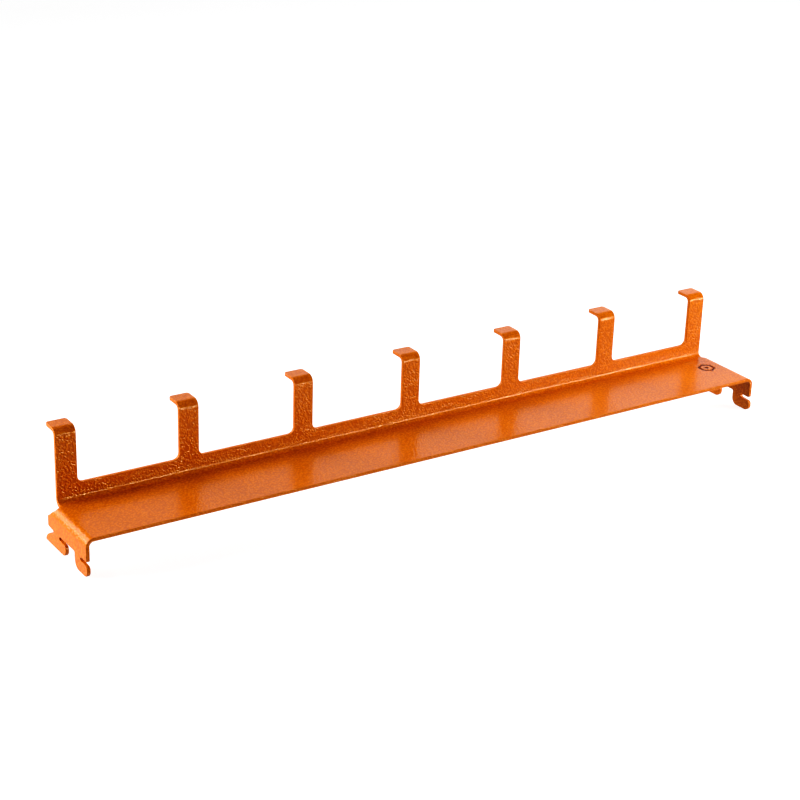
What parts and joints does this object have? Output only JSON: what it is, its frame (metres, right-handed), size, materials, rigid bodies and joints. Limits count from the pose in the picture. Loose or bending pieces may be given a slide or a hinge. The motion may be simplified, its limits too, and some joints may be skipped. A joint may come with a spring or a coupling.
{
  "type": "folded steel hook rail for a tool wall",
  "caption": "Folded sheet-metal rail with a row of bent tool hooks and an end plate at each end whose slotted lugs hang it on a perforated tool wall.",
  "frame": {"origin": "middle of the bounding box in X and Y, at the lowest level of the four wall lugs, on which the rail stands when set down", "axes": "+X along the rail, +Z along the hooks, away from the wall in use; +Y the way the hook tips are turned, up in use; -Y the free edge of the web"},
  "size_m": [0.4338, 0.0566, 0.0616],
  "materials": {
    "coated_steel": "semi-gloss orange hammertone powder coat over sheet steel"
  },
  "bodies": {
    "root": {"web_plate": "coated_steel", "long_fold": "coated_steel", "hook_upstand": "coated_steel", "hook_1": "coated_steel", "hook_2": "coated_steel", "hook_3": "coated_steel", "hook_4": "coated_steel", "hook_5": "coated_steel", "hook_6": "coated_steel", "hook_7": "coated_steel", "end_plate_left": "coated_steel", "end_plate_right": "coated_steel", "rear_wall_lug_left": "coated_steel", "rear_wall_lug_right": "coated_steel", "front_wall_lug_left": "coated_steel", "front_wall_lug_right": "coated_steel"}
  },
  "joints": []
}
